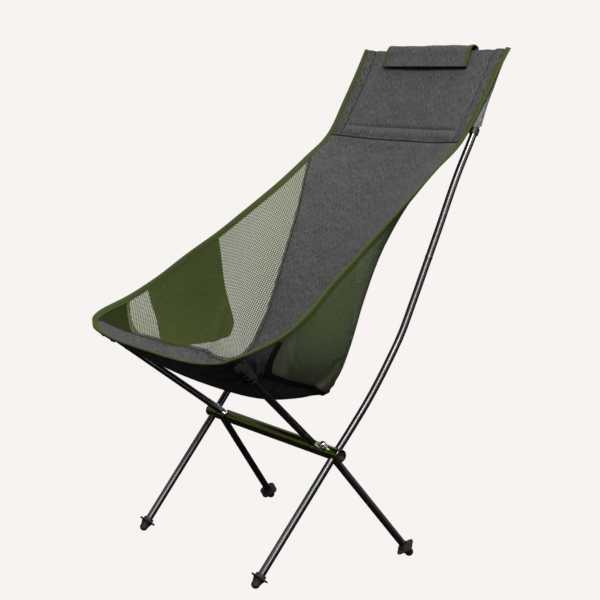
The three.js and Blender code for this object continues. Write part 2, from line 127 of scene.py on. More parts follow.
def centripetal(rows, count):
    """A smooth curve through unevenly spaced rows, without kinks: count points on each stretch."""
    p = with_ends(rows)
    out = []
    w = np.linspace(0, 1, count, endpoint=False)[:, None]
    for a, b, c, d in zip(p, p[1:], p[2:], p[3:]):
        e, f, g = (max(np.linalg.norm(q - r) ** 0.5, 1e-6) for q, r in ((b, a), (c, b), (d, c)))
        m = ((b - a) / e - (c - a) / (e + f) + (c - b) / f) * f
        n = ((c - b) / f - (d - b) / (f + g) + (d - c) / g) * f
        out.append((2 * b - 2 * c + m + n) * w**3 + (3 * c - 3 * b - 2 * m - n) * w**2 + m * w + b)
    return np.vstack([*out, p[-2]])


def lengths(points):
    """How far along a polyline each of its points is."""
    return np.r_[0, np.cumsum(np.linalg.norm(np.diff(points, axis=0), axis=1))]


def looked_up(at, known, rows):
    """Rows of three, looked up at places between the known ones."""
    return np.stack([np.interp(at, known, rows[:, k]) for k in range(3)], axis=-1)


def even(points, count):
    """The same polyline with its points evenly spaced."""
    points = np.asarray(points, float)
    run = lengths(points)
    return looked_up(np.linspace(0, run[-1], count), run, points)


def unit(v):
    v = np.asarray(v, float)
    return v / np.maximum(np.linalg.norm(v, axis=-1, keepdims=True), 1e-9)


def mix(a, b, k):
    return a + (b - a) * k


def smooth(k):
    k = np.clip(k, 0, 1)
    return k * k * (3 - 2 * k)


# ---- The fabric's surface ----
ROUND_ACROSS, ROUND_ALONG = 0.12, 0.5


def paired(across, t):
    """Both as float arrays of one shape."""
    return np.broadcast_arrays(np.asarray(across, float), np.asarray(t, float))


def bare(across, t):
    """The fabric without folds: across from -1 to 1, t by station. The front corners are rounded."""
    across, t = paired(across, t)
    a = np.abs(across)
    u = np.clip((a - 1 + ROUND_ACROSS) / ROUND_ACROSS, 0, 1)
    v = np.clip((ROUND_ALONG - t) / ROUND_ALONG, 0, 1)
    corner = (u > 0) & (v > 0)
    a = np.where(corner, 1 - ROUND_ACROSS + ROUND_ACROSS * u * np.sqrt(1 - v * v / 2), a)
    t = np.where(corner, ROUND_ALONG - ROUND_ALONG * v * np.sqrt(1 - u * u / 2), t)
    s = spline(STATIONS, t)
    ex, ey, ez, my, mz, soft, flat = (s[..., k] for k in range(7))
    out = (1 - soft) * a + soft * np.sin(a * np.pi / 2)
    rise = a**flat
    return np.stack([np.sign(across) * ex * out, HUB[1] + mix(my, ey, rise), mix(mz, ez, rise)], axis=-1)


def normal(across, t):
    """The fabric's inward normal, on the sitter's side."""
    h = 0.004
    a = np.clip(across, -1 + h, 1 - h)
    b = np.clip(t, h, TOP - h)
    return unit(np.cross(bare(a + h, b) - bare(a - h, b), bare(a, b + h) - bare(a, b - h)))


def crease(across, t, line, width, height):
    """A soft ridge (or a valley, with height below 0) along a straight line on the fabric, in mm."""
    (a0, t0), (a1, t1) = line
    p = (bare(across, t) - bare(a0, t0)) / 1.0
    run = bare(a1, t1) - bare(a0, t0)
    length = np.linalg.norm(run)
    along = p @ (run / length)
    off = np.linalg.norm(p - along[..., None] * (run / length), axis=-1)
    fade = smooth(along / (0.3 * length)) * smooth((length - along) / (0.3 * length))
    return height * fade * np.exp(-((off / width) ** 2))


CREASES = [
    (((0.72, 9.95), (0.86, 8.3)), 5, 2.0),
    (((0.55, 9.9), (0.80, 8.5)), 6, -1.8),
    (((-0.9, 9.95), (-0.62, 9.2)), 4, 1.6),
    (((-0.78, 9.95), (-0.5, 9.3)), 4, -1.4),
    (((0.42, 9.7), (0.66, 8.2)), 8, -1.5),
    (((-0.62, 9.9), (-0.30, 9.0)), 8, 1.4),
    (((-0.35, 9.9), (-0.12, 9.2)), 9, -1.1),
    (((-0.5, 8.5), (0.45, 8.2)), 14, -1.6),
    (((-0.45, 7.8), (0.5, 7.55)), 16, 1.7),
    (((-0.4, 7.1), (0.42, 6.9)), 15, -1.5),
    (((0.15, 7.9), (0.6, 7.0)), 10, -1.5),
    (((-0.4, 6.4), (0.4, 6.2)), 16, 1.4),
    (((-0.85, 2.9), (-0.55, 5.9)), 9, 1.5),
    (((0.85, 2.9), (0.55, 5.9)), 9, 1.5),
    (((-0.93, 6.0), (-0.6, 7.4)), 8, 1.0),
    (((0.93, 6.0), (0.6, 7.4)), 8, 1.0),
    (((-0.72, 1.86), (-0.52, 1.5)), 5, -3.2),
    (((-0.68, 2.35), (-0.46, 2.0)), 15, 4.4),
    (((-0.6, 3.0), (-0.45, 3.9)), 16, -4.5),
    (((0.72, 1.86), (0.52, 1.5)), 5, -3.0),
    (((0.6, 3.0), (0.45, 3.9)), 16, -4.0),
    (((-0.2, 0.05), (-0.05, 1.1)), 9, 1.4),
    (((-0.62, 0.08), (-0.45, 1.0)), 8, -1.4),
    (((0.3, 0.05), (0.2, 1.1)), 9, -1.3),
    (((0.62, 0.05), (0.5, 0.9)), 8, 1.5),
    (((-0.5, 2.2), (0.5, 2.3)), 14, 1.2),
    (((-0.45, 3.2), (0.45, 3.15)), 12, -1.2),
    (((-0.6, 11.7), (0.5, 11.5)), 20, -1.2),
    (((-0.5, 12.4), (0.6, 12.2)), 14, 0.9),
]


def edge_fade(across, t, side, end):
    """From 0 at the fabric's edges to 1 inside them, over side in across and over end in t."""
    return smooth((1 - np.abs(across)) / side) * smooth(t / end) * smooth((TOP - t) / end)


def folds(across, t):
    """How far the fabric's soft folds stand inwards, in mm: none at its edges."""
    across, t = paired(across, t)
    total = sum(crease(across, t, *c) for c in CREASES)
    x, y, z = np.moveaxis(bare(across, t), -1, 0)
    wave = np.sin(x / 31 + z / 47) * np.sin(z / 39 - y / 53 + 1.3)
    ripple = np.sin(x / 13 + z / 17 + 0.7) * np.sin(z / 15 - x / 29)
    return (1.9 * total + 0.9 * wave + 0.3 * ripple) * edge_fade(across, t, 0.12, 0.4)


SETTLED = {"offset": None}


def settled(across, t):
    """How far the simulated cloth moved inwards at each place, in mm."""
    grid = SETTLED["offset"]
    if grid is None:
        return 0.0
    rows, columns = grid.shape
    x = np.clip((np.asarray(across, float) + 1) / 2 * (columns - 1), 0, columns - 1.001)
    y = np.clip(np.asarray(t, float) / TOP * (rows - 1), 0, rows - 1.001)
    i, j = y.astype(int), x.astype(int)
    u, v = x - j, y - i
    low = mix(grid[i, j], grid[i, j + 1], u)
    high = mix(grid[i + 1, j], grid[i + 1, j + 1], u)
    return mix(low, high, v)


def on_fabric(across, t, lift=0.0):
    """Points of the fabric with its folds, lifted inwards by so many mm. Returns points and normals."""
    across, t = paired(across, t)
    n = normal(across, t)
    return bare(across, t) + n * (folds(across, t) + settled(across, t) + lift)[..., None], n


def seam(t):
    """The fraction out to the seam between the middle and side panels."""
    return np.minimum(spline(STATIONS[:, 7:8], t)[..., 0], 1)


# ---- Meshes ----
# The angle in degrees past which an edge of a turned piece is sharp.
TURNED_SHARP = 35


def new_piece(name, vertices, faces, material, body, uv=None, sharp=40):
    """A mesh piece from vertices in mm. uv has one row for each vertex, in metres of cloth."""
    mesh = bpy.data.meshes.new(name)
    mesh.from_pydata([tuple(v) for v in np.asarray(vertices) * MM], [], [tuple(f) for f in faces])
    if uv is not None:
        layer = mesh.uv_layers.new(name="cloth")
        corners = np.empty(len(mesh.loops), np.int32)
        mesh.loops.foreach_get("vertex_index", corners)
        layer.data.foreach_set("uv", np.asarray(uv, np.float32)[corners].ravel())
    mesh.materials.append(material)
    work = bmesh.new()
    work.from_mesh(mesh)
    bmesh.ops.recalc_face_normals(work, faces=work.faces)
    for f in work.faces:
        f.smooth = True
    work.to_mesh(mesh)
    work.free()
    mesh.set_sharp_from_angle(angle=math.radians(sharp))
    obj = bpy.data.objects.new(name, mesh)
    bpy.context.scene.collection.objects.link(obj)
    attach(obj, body)
    return obj


def grid_faces(rows, columns, around=False):
    """Quads of a grid of points in row order; around closes each row on itself."""
    last = columns if around else columns - 1
    i, j = np.meshgrid(np.arange(rows - 1), np.arange(last), indexing="ij")
    k = (j + 1) % columns
    here, above = i * columns, (i + 1) * columns
    return np.stack([here + j, here + k, above + k, above + j], axis=-1).reshape(-1, 4).tolist()


def slab(name, points, normals, thick, material, body="frame", uv=None):
    """A closed sheet of even thickness about a grid of points."""
    rows, columns = points.shape[:2]
    half = normals * thick / 2
    n = rows * columns
    faces = grid_faces(rows, columns)
    faces += [[i + n for i in reversed(f)] for f in faces]
    at = np.arange(n).reshape(rows, columns)
    rim = np.concatenate([at[0], at[1:, -1], at[-1, -2::-1], at[-2:0:-1, 0]]).tolist()
    faces += [[a, b, b + n, a + n] for a, b in zip(rim, rim[1:] + rim[:1])]
    flat = (cloth_uv(points) if uv is None else uv).reshape(-1, 2)
    vertices = np.vstack([(points + half).reshape(-1, 3), (points - half).reshape(-1, 3)])
    return new_piece(name, vertices, faces, material, body, np.vstack([flat, flat]))


def row_lengths(points):
    """How far along its row each point of a grid is."""
    step = np.linalg.norm(np.diff(points, axis=1), axis=2)
    return np.concatenate([np.zeros((len(points), 1)), np.cumsum(step, axis=1)], axis=1)


def cloth_uv(points):
    """Metres of cloth: along the rows' middle, and out from it across each row."""
    middle = points.shape[1] // 2
    run = row_lengths(points)
    run -= run[:, middle:middle + 1]
    along = lengths(points[:, middle])
    return np.stack([run, np.broadcast_to(along[:, None], run.shape)], axis=-1) * MM


def panel(name, place, columns, rows, lift, thick, material, extra=None, uv=None):
    """A sheet on the fabric. place(a, b) gives (across, t); extra(a, b) adds mm inwards."""
    a, b = np.meshgrid(np.linspace(0, 1, columns), np.linspace(0, 1, rows))
    across, t = place(a, b)
    more = extra(a, b) if extra else 0
    points, normals = on_fabric(across, t, lift + more)
    coordinates = uv(across, t, points) if uv else None
    return slab(name, points, normals, thick, material, uv=coordinates)


def skin(name, line, rings, section, material, body="frame", sharp=40):
    """A piece over rings of points, one ring for each point of a line, with flat ends."""
    count = len(section)
    last = (len(line) - 1) * count
    faces = grid_faces(len(line), count, around=True)
    faces += [list(range(count))[::-1], list(range(last, last + count))]
    uv = np.stack(np.broadcast_arrays(lengths(section)[None], lengths(line)[:, None]), axis=-1)
    return new_piece(name, rings.reshape(-1, 3), faces, material, body, uv.reshape(-1, 2) * MM, sharp)


def sweep(name, line, section, material, body="frame", up=None):
    """A closed section carried along a line.

    section is one ring of (out, up) in mm, or one for each point.
    """
    line = np.asarray(line, float)
    along = unit(np.gradient(line, axis=0))
    if up is None:
        side = [unit(np.cross(along[0], (0, 0, 1) if abs(along[0][2]) < 0.9 else (0, 1, 0)))]
        for k in along[1:]:
            side.append(unit(side[-1] - k * (side[-1] @ k)))
        side = np.array(side)
        upward = np.cross(side, along)
    else:
        upward = unit(up - along * np.sum(up * along, axis=1, keepdims=True))
        side = np.cross(along, upward)
    section = np.asarray(section, float)
    if section.ndim == 2:
        section = np.broadcast_to(section, (len(line),) + section.shape)
    rings = line[:, None] + section[..., :1] * side[:, None] + section[..., 1:] * upward[:, None]
    return skin(name, line, rings, section[0], material, body)


def turned(name, profile, start, towards, material, body="frame", segments=56, lobes=None):
    """A profile of (radius, along) turned about the line from start towards a point.

    lobes(angle, k) scales the radii.
    """
    start, towards = np.asarray(start, float), np.asarray(towards, float)
    axis = unit(towards - start)
    side = unit(np.cross(axis, (0, 0, 1) if abs(axis[2]) < 0.95 else (1, 0, 0)))
    other = np.cross(axis, side)
    angle = np.linspace(0, 2 * np.pi, segments, endpoint=False)
    rows = []
    for k, (r, along) in enumerate(profile):
        scale = lobes(angle, k) if lobes else 1
        out, up = (r * scale * wave(angle) for wave in (np.cos, np.sin))
        rows.append(start + axis * along + out[:, None] * side + up[:, None] * other)
    closed = tuple(profile[0]) == tuple(profile[-1])
    count = len(profile) - int(closed)
    last = (count - 1) * segments
    faces = grid_faces(count, segments, around=True)
    if closed:
        faces += [[last + j, last + (j + 1) % segments, (j + 1) % segments, j] for j in range(segments)]
    else:
        faces += [list(range(segments))[::-1], list(range(last, last + segments))]
    return new_piece(name, np.vstack(rows[:count]), faces, material, body, sharp=TURNED_SHARP)


def circle(r, count=40):
    a = np.linspace(0, 2 * np.pi, count, endpoint=False)
    return np.stack([r * np.cos(a), r * np.sin(a)], axis=1)


# ---- Materials ----
def shader(name, color, roughness, metallic=0.0, **constants):
    """A new material, its node tree and its Principled node."""
    m = bpy.data.materials.new(name)
    m.use_nodes = True
    tree = m.node_tree
    p = tree.nodes["Principled BSDF"]
    p.inputs["Base Color"].default_value = (*color, 1)
    p.inputs["Roughness"].default_value = roughness
    p.inputs["Metallic"].default_value = metallic
    for key, value in constants.items():
        p.inputs[key.replace("_", " ")].default_value = value
    return m, tree, p


def node(tree, kind, inputs=None, **settings):
    n = tree.nodes.new(kind)
    for key, value in settings.items():
        setattr(n, key, value)
    for key, value in (inputs or {}).items():
        if isinstance(value, bpy.types.NodeSocket):
            tree.links.new(value, n.inputs[key])
        else:
            n.inputs[key].default_value = value
    return n


def math_node(tree, operation, a, b=0.0, c=0.0):
    return node(tree, "ShaderNodeMath", {0: a, 1: b, 2: c}, operation=operation).outputs[0]


def cloth_place(tree):
    """The cloth's own coordinates, as u and v sockets in metres, and as a vector."""
    place = node(tree, "ShaderNodeUVMap", uv_map="cloth").outputs[0]
    parts = node(tree, "ShaderNodeSeparateXYZ", {0: place})
    return place, parts.outputs[0], parts.outputs[1]


def noise(tree, place, scale, detail):
    return node(tree, "ShaderNodeTexNoise", {"Vector": place, "Scale": scale, "Detail": detail}).outputs[0]


def times_plus(tree, a, factor, more):
    return math_node(tree, "MULTIPLY_ADD", a, factor, more)


def feed(tree, p, **sockets):
    """Links sockets to a Principled node's inputs, with _ for each space in an input's name."""
    for key, value in sockets.items():
        tree.links.new(value, p.inputs[key.replace("_", " ")])


def emboss(tree, p, height, strength, distance):
    """Shades the surface as if a height raised it, by up to a distance in metres."""
    inputs = {"Height": height, "Strength": strength, "Distance": distance}
    feed(tree, p, Normal=node(tree, "ShaderNodeBump", inputs).outputs[0])


def streaks(tree, place, across, along, detail=2.0):
    """Noise drawn out along the threads: sizes in metres across and along."""
    scale = node(tree, "ShaderNodeMapping", {"Vector": place, "Scale": (1 / across, 1 / along, 1)})
    return noise(tree, scale.outputs[0], 1.0, detail)


def weave_height(tree, u, v, pitch):
    """Over and under of a plain weave, from -1 to 1."""
    turns = 2 * math.pi / pitch
    su = math_node(tree, "SINE", math_node(tree, "MULTIPLY", u, turns))
    sv = math_node(tree, "SINE", math_node(tree, "MULTIPLY", v, turns))
    return math_node(tree, "MULTIPLY", su, sv)


def colour_between(tree, factor, dark, light, low=0.3, high=0.7):
    ramp = node(tree, "ShaderNodeValToRGB", {0: factor})
    ramp.color_ramp.elements[0].position = low
    ramp.color_ramp.elements[0].color = (*dark, 1)
    ramp.color_ramp.elements[1].position = high
    ramp.color_ramp.elements[1].color = (*light, 1)
    return ramp.outputs[0]


def woven(name, dark, light, pitch=0.0008, heather=1.0, sheen=0.06, cloud=0.3):
    """A woven cloth: threads of two tones, soft unevenness over a few centimetres, and a fine weave."""
    m, tree, p = shader(name, light, 0.9, Sheen_Weight=sheen, Sheen_Roughness=0.6, Specular_IOR_Level=0.12)
    place, u, v = cloth_place(tree)
    warp = streaks(tree, place, 0.0014, 0.01)
    weft = streaks(tree, place, 0.005, 0.0011)
    both = times_plus(tree, warp, 0.66, math_node(tree, "MULTIPLY", weft, 0.34))
    threads = times_plus(tree, both, heather, 0.5 * (1 - heather))
    tone = colour_between(tree, threads, dark, light, 0.39, 0.61)
    shade = times_plus(tree, noise(tree, place, 26.0, 3.0), 2 * cloud, 1 - cloud)
    shaded = node(tree, "ShaderNodeVectorMath", {0: tone, 3: shade}, operation="SCALE").outputs[0]
    feed(tree, p, Base_Color=shaded, Roughness=times_plus(tree, threads, 0.12, 0.8))
    emboss(tree, p, times_plus(tree, threads, 0.8, weave_height(tree, u, v, pitch)), 0.35, 0.0002)
    return m


def knitted_mesh(name, thread, shadow, pitch_u=0.0038, pitch_v=0.0032, open_share=0.25):
    """Open knitted mesh: rows of holes, each row shifted by half, with rounded threads between."""
    m, tree, p = shader(name, thread, 0.75, Sheen_Weight=0.05, Sheen_Roughness=0.5)
    _, u, v = cloth_place(tree)
    row = math_node(tree, "DIVIDE", v, pitch_v)
    shift = math_node(tree, "MULTIPLY", math_node(tree, "MODULO", math_node(tree, "FLOOR", row), 2.0), 0.5)
    column = math_node(tree, "ADD", math_node(tree, "DIVIDE", u, pitch_u), shift)
    fu, fv = (math_node(tree, "SUBTRACT", math_node(tree, "FRACT", k), 0.5) for k in (column, row))
    squares = times_plus(tree, fu, fu, math_node(tree, "MULTIPLY", fv, fv))
    away = math_node(tree, "SQRT", squares)
    radius = math.sqrt(open_share / math.pi)
    soft = 0.035
    solid, deep = (
        node(tree, "ShaderNodeMapRange", {0: away, 1: low, 2: high, 3: 0.0, 4: 1.0}).outputs[0]
        for low, high in ((radius - soft, radius + soft), (radius, 0.66)))
    feed(tree, p, Alpha=solid, Base_Color=colour_between(tree, deep, shadow, thread, 0.0, 0.6))
    emboss(tree, p, deep, 0.7, 0.0007)
    return m


def ribbed(name, dark, light, pitch=0.0016):
    """Woven tape with ribs across its length."""
    m, tree, p = shader(name, light, 0.75, Sheen_Weight=0.02, Sheen_Roughness=0.5, Specular_IOR_Level=0.1)
    place, _, v = cloth_place(tree)
    wave = math_node(tree, "SINE", math_node(tree, "MULTIPLY", v, 2 * math.pi / pitch))
    factor = times_plus(tree, wave, 0.16, streaks(tree, place, 0.002, 0.004))
    feed(tree, p, Base_Color=colour_between(tree, factor, dark, light, 0.25, 0.75))
    emboss(tree, p, factor, 0.6, 0.0003)
    return m


def metal(name, color, roughness, metallic, grain=0.06, streak=(900.0, 900.0, 900.0)):
    """Metal with fine uneven polish and faint tone changes."""
    m, tree, p = shader(name, color, roughness, metallic)
    place = node(tree, "ShaderNodeTexCoord").outputs["Object"]
    scaled = node(tree, "ShaderNodeMapping", {"Vector": place, "Scale": streak})
    fine = noise(tree, scaled.outputs[0], 1.0, 3.0)
    dark, light = (tuple(k * c for c in color) for k in (0.86, 1.1))
    tone = colour_between(tree, noise(tree, place, 22.0, 4.0), dark, light)
    feed(tree, p, Base_Color=tone, Roughness=times_plus(tree, fine, 2 * grain, roughness - grain))
    emboss(tree, p, fine, 0.012, 0.00003)
    return m


def moulded(name, color, roughness, grain=0.25):
    """Moulded plastic or rubber with a fine pebbled skin."""
    m, tree, p = shader(name, color, roughness, Specular_IOR_Level=0.4)
    place = node(tree, "ShaderNodeTexCoord").outputs["Object"]
    pebble, dust = noise(tree, place, 2600.0, 2.0), noise(tree, place, 60.0, 4.0)
    tone = colour_between(tree, dust, color, tuple(1.6 * c + 0.004 for c in color), 0.45, 0.8)
    feed(tree, p, Base_Color=tone, Roughness=times_plus(tree, pebble, 0.16, roughness - 0.08))
    emboss(tree, p, pebble, grain, 0.0002)
    return m


def object_cloth(name, dark, light):
    """The heather cloth for pieces without cloth coordinates."""
    m, tree, p = shader(name, light, 0.9, Sheen_Weight=0.02, Sheen_Roughness=0.6, Specular_IOR_Level=0.06)
    fine = noise(tree, node(tree, "ShaderNodeTexCoord").outputs["Object"], 700.0, 3.0)
    feed(tree, p, Base_Color=colour_between(tree, fine, dark, light, 0.36, 0.64))
    emboss(tree, p, fine, 0.4, 0.0003)
    return m


GREY = woven("heather_cloth", (0.034, 0.035, 0.033), (0.138, 0.142, 0.134))
# The pocket's cloth: the heather cloth made near black, as painted shade of the corner's hollow.
GREY_POCKET_PAINTED_SHADE = object_cloth("heather_cloth_pocket_painted_shade", (0.004, 0.004, 0.004), (0.018, 0.018, 0.018))
# A darker copy of the heather cloth for the underside: painted shade.
GREY_UNDER_PAINTED_SHADE = woven("heather_cloth_under_painted_shade", (0.03, 0.03, 0.029), (0.12, 0.123, 0.118))
# A lighter copy of the heather cloth for the pole sheaths: painted light, as if lit from behind.
GREY_SLEEVE_PAINTED_LIGHT = woven("heather_cloth_sleeve_painted_light", (0.09, 0.092, 0.086), (0.3, 0.306, 0.29))
GREY_HEM = woven("heather_cloth_hem", (0.02, 0.021, 0.019), (0.125, 0.129, 0.118))
OLIVE = woven("olive_cloth", (0.04, 0.058, 0.012), (0.072, 0.097, 0.025), heather=0.7, cloud=0.12, sheen=0.04)
# A darker copy of the olive cloth for the corner's inner lining: painted shade of the deep corner.
OLIVE_PAINTED_SHADE = woven("olive_lining_painted_shade", (0.015, 0.022, 0.004), (0.027, 0.039, 0.007), heather=0.7, cloud=0.12,
                   sheen=0.03)
MESH = knitted_mesh("olive_mesh", (0.13, 0.17, 0.058), (0.06, 0.08, 0.022))
TAPE = ribbed("green_tape", (0.04, 0.06, 0.012), (0.085, 0.118, 0.03))
# Black webbing for the straps, and also for the painted shadow strip under each outer corner patch.
WEBBING_AND_EDGE_SHADOW = ribbed("black_webbing", (0.001, 0.001, 0.001), (0.006, 0.006, 0.006), pitch=0.0022)
# Dark thread for the wing stitches, and also for the painted shadow strips along the seams.
THREAD_AND_SEAM_SHADOW = woven("dark_thread_and_seam_shadow", (0.008, 0.009, 0.007), (0.028, 0.03, 0.024), pitch=0.0004)
GREEN_THREAD = woven("green_thread", (0.04, 0.055, 0.015), (0.085, 0.11, 0.035), pitch=0.0004)
POLE = metal("black_pole", (0.11, 0.112, 0.11), 0.25, 0.97, grain=0.02)
ANODISED = metal("olive_anodised", (0.11, 0.15, 0.03), 0.25, 0.97, grain=0.02)
SILVER = metal("bare_aluminium", (0.78, 0.79, 0.8), 0.22, 1.0, streak=(300.0, 2500.0, 2500.0))
RUBBER = moulded("rubber", (0.011, 0.011, 0.012), 0.6)
PLASTIC = moulded("black_plastic", (0.01, 0.01, 0.01), 0.45, grain=0.15)
CORD = ribbed("elastic_cord", (0.006, 0.006, 0.006), (0.05, 0.05, 0.05), pitch=0.0012)


# ---- Frame ----
def at_hub(x):
    return np.array([x, HUB[1], HUB[2]])


def from_hub(x, point, side):
    """The start and end of a pole on one side, in mm."""
    px, py, pz = point
    return at_hub(side * x), np.array([side * px, HUB[1] + py, pz])


def seat_on(start, end):
    """How far from the cross tube's axis a square-cut pole starts."""
    lean = math.asin(abs(unit(end - start)[0]))
    return CORE_R / math.cos(lean) + POLE_R * math.tan(lean) + GAP


def pole_profile(a, b):
    """A tube with broken edges, from a to b along its line."""
    e = 0.35
    r, bore = POLE_R, BORE_R
    return [(bore + e, a), (r - e, a), (r, a + e), (r, b - e), (r - e, b), (bore + e, b), (bore, b - e),
            (bore, a + e), (bore + e, a)]


# The collar's place among the outlets.
COLLAR = 4


def outlets(side):
    """(start, towards) for each pole that the cross tube carries on one side, and the collar's line last."""
    front = from_hub(*FRONT_LEG, side)
    rear = from_hub(*REAR_LEG, side)
    seat = from_hub(*SEAT_POLE, side)
    back = back_line(side)
    return [front, rear, seat, (back[0], back[8]), (rear[0], 2 * rear[0] - rear[1])]


def back_line(side, count=180):
    """The back pole's centre line, evenly spaced."""
    rows = np.array(BACK_POLE, float) * (side, 1, 1) + (0, HUB[1], 0)
    return even(centripetal(rows, 40), count)


def cut_with(obj, tools):
    """Cuts tools out of a piece and removes them."""
    for tool in tools:
        change = obj.modifiers.new("cut", "BOOLEAN")
        change.operation = "DIFFERENCE"
        change.solver = "EXACT"
        change.object = tool
    bpy.context.view_layer.update()
    done = obj.evaluated_get(bpy.context.evaluated_depsgraph_get())
    mesh = bpy.data.meshes.new_from_object(done)
    obj.modifiers.clear()
    obj.data = mesh
    mesh.set_sharp_from_angle(angle=math.radians(TURNED_SHARP))
    for tool in tools:
        bpy.data.objects.remove(tool)


def make_cross_tube():
    r, bore, end = HUB_R, HUB_R - HUB_WALL, HUB_HALF
    profile = [(bore + 0.3, -end), (r - 0.7, -end), (r, 0.7 - end), (r, end - 0.7), (r - 0.7, end),
               (bore + 0.3, end), (bore, end - 0.4), (bore, 0.4 - end), (bore + 0.3, -end)]
    tube = turned("cross_tube_shell", profile, HUB, HUB + (1, 0, 0), ANODISED, segments=72)
    drills = []
    rod = [(NEAR_ZERO, 0), (POLE_R + 0.5, 0), (POLE_R + 0.5, 30), (NEAR_ZERO, 30)]
    for side in SIDES.values():
        for k, (start, towards) in enumerate(outlets(side)):
            drills.append(turned(f"drill_{side}_{k}", rod, start, towards, ANODISED, segments=32))
    cut_with(tube, drills)
    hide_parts("cross_tube")


def make_hub_ends(name, side):
    for k, (start, towards) in enumerate(outlets(side)):
        reach = COLLAR_REACH if k == COLLAR else SPIGOT_REACH
        tip = [(NEAR_ZERO, 4), (SPIGOT_R, 4), (SPIGOT_R, reach - 1.2), (SPIGOT_R - 1.2, reach), (1.6, reach),
               (1.2, reach - 2)]
        spigot = turned(f"spigot_{k + 1}_{name}", tip, start, towards, PLASTIC, segments=36)
    r, low, end = CORE_R, 146, 224
    barrel = [(NEAR_ZERO, low), (r - 1, low), (r, low + 1), (r, end - 1), (r - 1, end), (NEAR_ZERO, end)]
    core = turned(f"hub_insert_{name}", barrel, at_hub(0), at_hub(side), PLASTIC)
    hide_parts(f"hub_core_{name}")
    r = HUB_R - HUB_WALL - GAP
    cap = [(NEAR_ZERO, end + 0.3), (r, end + 0.3), (r, end + 2), (r - 0.5, end + 2.5), (r - 1.8, end + 2.5),
           (r - 2.4, end + 1.9), (3.4, end + 1.6), (2.8, end + 1.1), (NEAR_ZERO, end + 1)]
    plug = turned(f"end_cap_{name}", cap, at_hub(0), at_hub(side), PLASTIC)
    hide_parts(f"end_plug_{name}")


def make_collar(name, side):
    start, towards = outlets(side)[COLLAR]
    low = seat_on(start, towards)
    r, bore, floor = POLE_R, SPIGOT_R + GAP, COLLAR_REACH + 0.4
    shape = [(bore, low), (r - 0.4, low), (r, low + 0.4), (r, 17.8), (r - 0.7, 18.4), (r - 0.7, 19.2),
             (r, 19.8), (r, 23.2), (6.5, 24.6), (5.2, 25.4), (3, 25.8), (NEAR_ZERO, 26),
             (NEAR_ZERO, floor), (bore, floor), (bore, low)]
    collar = turned(f"collar_{name}", shape, start, towards, SILVER)
    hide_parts(f"rear_leg_collar_{name}")


def make_seat_pole(name, side):
    start, end = from_hub(*SEAT_POLE, side)
    length = np.linalg.norm(end - start)
    r, bore, ferrule_end = HUB_R, SPIGOT_R + GAP, HUB_R + 9.2
    ring = [(bore, r), (8.2, r), (8.6, r + 0.4), (8.6, ferrule_end - 0.8), (8.1, ferrule_end),
            (bore, ferrule_end), (bore, r)]
    ferrule = turned(f"ferrule_{name}", ring, start, end, SILVER)
    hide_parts(f"seat_pole_ferrule_{name}")
    tube = turned(f"seat_pole_tube_{name}", pole_profile(ferrule_end + 0.6, length - 6), start, end, POLE)
    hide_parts(f"seat_pole_{name}")
    plug = [(NEAR_ZERO, -22), (BORE_R - GAP, -22), (BORE_R - GAP, -5.7), (7.9, -5.7), (8.1, -5), (8.1, 1),
            (7.2, 3.6), (5.5, 5.6), (3, 6.7), (NEAR_ZERO, 7)]
    shape = [(r, length + along) for r, along in plug]
    tip = turned(f"seat_pole_end_{name}", shape, start, end, PLASTIC)
    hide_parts(f"seat_pole_tip_{name}")


def make_back_pole(name, side):
    line = back_line(side, 260)
    run = lengths(line)
    total = run[-1]
    join = total / 2
    begin = seat_on(line[0], line[10])
    round_pole = circle(POLE_R, 48)

    def stretch(a, b, count):
        return looked_up(np.linspace(a, b, count), run, line)

    lower = sweep(f"back_pole_section_1_{name}", stretch(begin, join - 0.2, 90), round_pole, POLE)
    upper = sweep(f"back_pole_section_2_{name}", stretch(join + 0.2, total - 6, 90), round_pole, POLE)
    swell = np.array([0.05, 0.3, 0.45, 0.5, 0.5, 0.5, 0.45, 0.3, 0.05])
    sections = circle(1, 48)[None] * (POLE_R + swell)[:, None, None]
    band = sweep(f"back_pole_joint_{name}", stretch(join - 3, join + 3, 9), sections, POLE)
    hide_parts(f"back_pole_lower_{name}")
    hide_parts(f"back_pole_upper_{name}")
    shape = [(NEAR_ZERO, -6), (POLE_R - 0.3, -6), (POLE_R, -5.6), (POLE_R, 0.6), (6.3, 3.2), (4.4, 5),
             (2, 5.8), (NEAR_ZERO, 6)]
    tip = turned(f"back_pole_end_{name}", shape, line[-1], 2 * line[-1] - line[-4], PLASTIC)
    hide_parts(f"back_pole_tip_{name}")


BALL_R = 8.5
# A foot's outline: (radius, along) from its flange, up to where the ball begins.
FOOT = [
    (NEAR_ZERO, 1.4), (POLE_R + GAP, 1.4), (POLE_R + GAP, -6.2), (9.4, -6.5), (10.2, -5.9), (10.5, -4),
    (10.9, -1), (12.4, -0.1), (19.6, 0), (20.7, 0.4), (21, 1.1), (20.7, 1.8), (19.6, 2.2), (13.6, 2.5),
    (11.5, 4), (9.6, 9.5), (BALL_R, 13), (BALL_R, 15.9),
]
FLANGE_FROM_END = 15
# How strongly the foot's outline is lobed at each of its points, for those that are.
LOBED = {7: 0.35, 8: 1.0, 9: 1.0, 10: 1.0, 11: 1.0, 12: 1.0, 13: 0.3}


